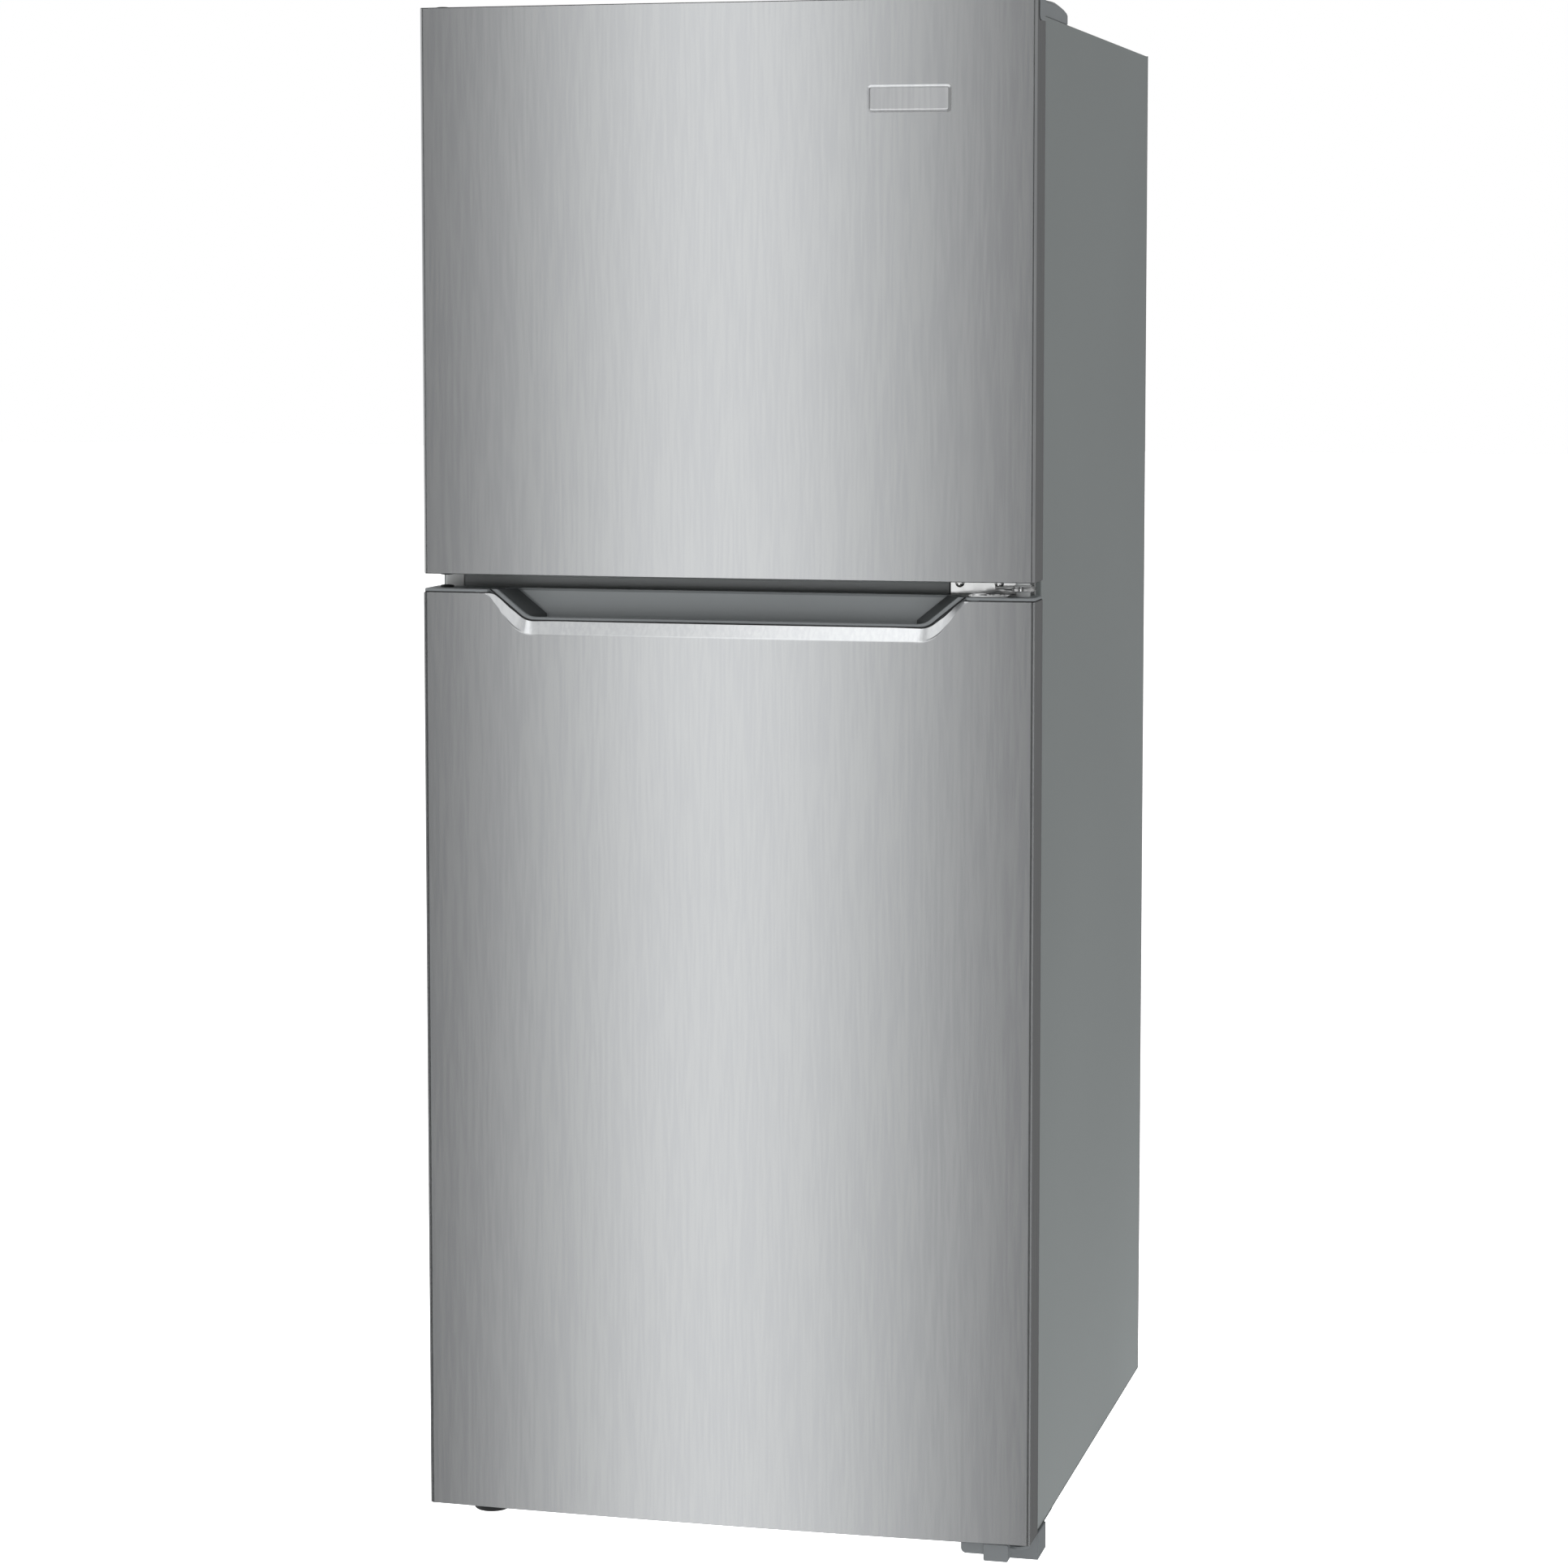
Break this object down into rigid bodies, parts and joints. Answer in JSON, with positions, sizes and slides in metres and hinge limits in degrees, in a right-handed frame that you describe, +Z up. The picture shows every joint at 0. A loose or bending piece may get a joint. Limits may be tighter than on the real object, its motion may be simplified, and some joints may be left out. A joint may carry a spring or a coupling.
{
  "type": "top freezer refrigerator",
  "caption": "Top freezer refrigerator with bowed brushed steel doors, pocket handles, grey cabinet, shelves, door racks, a crisper drawer and a rear compressor bay.",
  "frame": {"origin": "on the floor under the centre of the outer box", "axes": "+Z up, the doors face -Y, +X to the right seen from in front, where the hinges are"},
  "size_m": [0.6, 0.6871, 1.496],
  "materials": {
    "door_steel": "stainless steel skin with a fine upright grain and a soft sheen",
    "cabinet_paint": "grey stoved paint with a fine texture",
    "hinge_paint": "grey painted steel plate",
    "zinc_plate": "bright zinc plated steel",
    "cap_plastic": "dark grey moulded plastic with a fine grain",
    "cover_plastic": "mid grey moulded plastic",
    "white_plastic": "white moulded plastic with a soft gloss",
    "white_wire": "white coated steel wire",
    "clear_plastic": "clear moulded plastic",
    "lamp_plastic": "milky lamp cover",
    "shelf_glass": "toughened clear glass",
    "gasket_rubber": "light grey soft gasket with a magnetic core",
    "foam_fill": null,
    "black_paint": "black stoved paint",
    "black_plastic": "black moulded plastic",
    "copper_tube": "drawn copper tube, slightly dull",
    "coil_aluminium": "plain aluminium fins and tube"
  },
  "bodies": {
    "cabinet": {"cabinet_wrap": "cabinet_paint", "back_panel": "cabinet_paint", "insulation_foam": "foam_fill", "freezer_liner": "white_plastic", "fridge_liner": "white_plastic", "mullion_rail": "cap_plastic", "mullion_end_plug": "cover_plastic", "base_pan": "zinc_plate", "machine_tray": "zinc_plate", "machine_cover": "zinc_plate", "cord_gland": "black_plastic", "top_hinge": "zinc_plate", "top_hinge_cover": "cover_plastic", "middle_hinge": "zinc_plate", "bottom_hinge": "hinge_paint", "left_leg_bracket": "hinge_paint", "evaporator_cover": "white_plastic", "evaporator_coil": "coil_aluminium", "fan_motor": "black_plastic", "freezer_shelf": "white_wire", "control_housing": "white_plastic", "lamp_lens": "lamp_plastic", "air_duct": "white_plastic", "crisper_cover": "clear_plastic", "lower_shelf_frame": "white_plastic", "lower_shelf_glass": "shelf_glass", "upper_shelf_frame": "white_plastic", "upper_shelf_glass": "shelf_glass", "compressor": "black_paint", "drain_pan": "black_plastic", "filter_drier": "copper_tube", "discharge_tube": "copper_tube", "suction_tube": "copper_tube"},
    "freezer_door": {"freezer_door_skin": "door_steel", "freezer_door_foam": "foam_fill", "freezer_door_liner": "white_plastic", "freezer_door_top_cap": "cover_plastic", "freezer_door_bottom_cap": "cap_plastic", "freezer_door_gasket": "gasket_rubber", "freezer_bin_upper": "white_plastic", "freezer_bin_lower": "white_plastic", "badge_plate": "door_steel"},
    "fridge_door": {"fridge_door_skin": "door_steel", "fridge_door_foam": "foam_fill", "fridge_door_liner": "white_plastic", "fridge_door_top_cap": "cap_plastic", "fridge_door_bottom_cap": "cap_plastic", "fridge_door_gasket": "gasket_rubber", "fridge_bin_upper": "clear_plastic", "fridge_bin_middle": "clear_plastic", "fridge_bin_lower": "clear_plastic", "door_stop": "hinge_paint"},
    "crisper": {"crisper_drawer": "clear_plastic"},
    "temperature_knob": {"temperature_knob": "cover_plastic"},
    "door_switch": {"switch_button": "white_plastic"},
    "fan": {"fan_blade": "black_plastic"},
    "left_leg": {"left_leg": "black_plastic"},
    "right_leg": {"right_leg": "black_plastic"},
    "left_roller": {"left_roller": "black_plastic"},
    "right_roller": {"right_roller": "black_plastic"}
  },
  "joints": [
    {"name": "freezer_door_hinge", "type": "hinge", "parent": "cabinet", "child": "freezer_door", "pos_m": [0.2845, -0.312, 1.22], "axis": [0, 0, 1], "range_deg": [0, 120]},
    {"name": "fridge_door_hinge", "type": "hinge", "parent": "cabinet", "child": "fridge_door", "pos_m": [0.2845, -0.312, 0.48], "axis": [0, 0, 1], "range_deg": [0, 120]},
    {"name": "crisper_slide", "type": "slide", "parent": "cabinet", "child": "crisper", "axis": [0, -1, 0], "range_m": [0, 0.2]},
    {"name": "switch_slide", "type": "slide", "parent": "cabinet", "child": "door_switch", "axis": [0, -1, 0], "range_m": [0, 0.0061]},
    {"name": "temperature_knob_turn", "type": "hinge", "parent": "cabinet", "child": "temperature_knob", "pos_m": [0.055, -0.155, 0.885], "axis": [0, 1, 0], "range_deg": [-140, 140]},
    {"name": "fan_spin", "type": "hinge", "parent": "cabinet", "child": "fan", "pos_m": [0, 0.221, 1.339], "axis": [0, 1, 0], "continuous": true},
    {"name": "left_leg_slide", "type": "slide", "parent": "cabinet", "child": "left_leg", "axis": [0, 0, 1], "range_m": [-0.012, 0]},
    {"name": "right_leg_slide", "type": "slide", "parent": "cabinet", "child": "right_leg", "axis": [0, 0, 1], "range_m": [-0.012, 0]},
    {"name": "left_roller_spin", "type": "hinge", "parent": "cabinet", "child": "left_roller", "pos_m": [-0.255, 0.29, 0.013], "axis": [1, 0, 0], "continuous": true},
    {"name": "right_roller_spin", "type": "hinge", "parent": "cabinet", "child": "right_roller", "pos_m": [0.255, 0.29, 0.013], "axis": [1, 0, 0], "continuous": true}
  ],
  "couplings": [
    {"joint": "crisper_slide", "follows": "fridge_door_hinge", "m_per_rad": 0.095},
    {"joint": "switch_slide", "follows": "fridge_door_hinge", "m_per_rad": 0.00287}
  ]
}
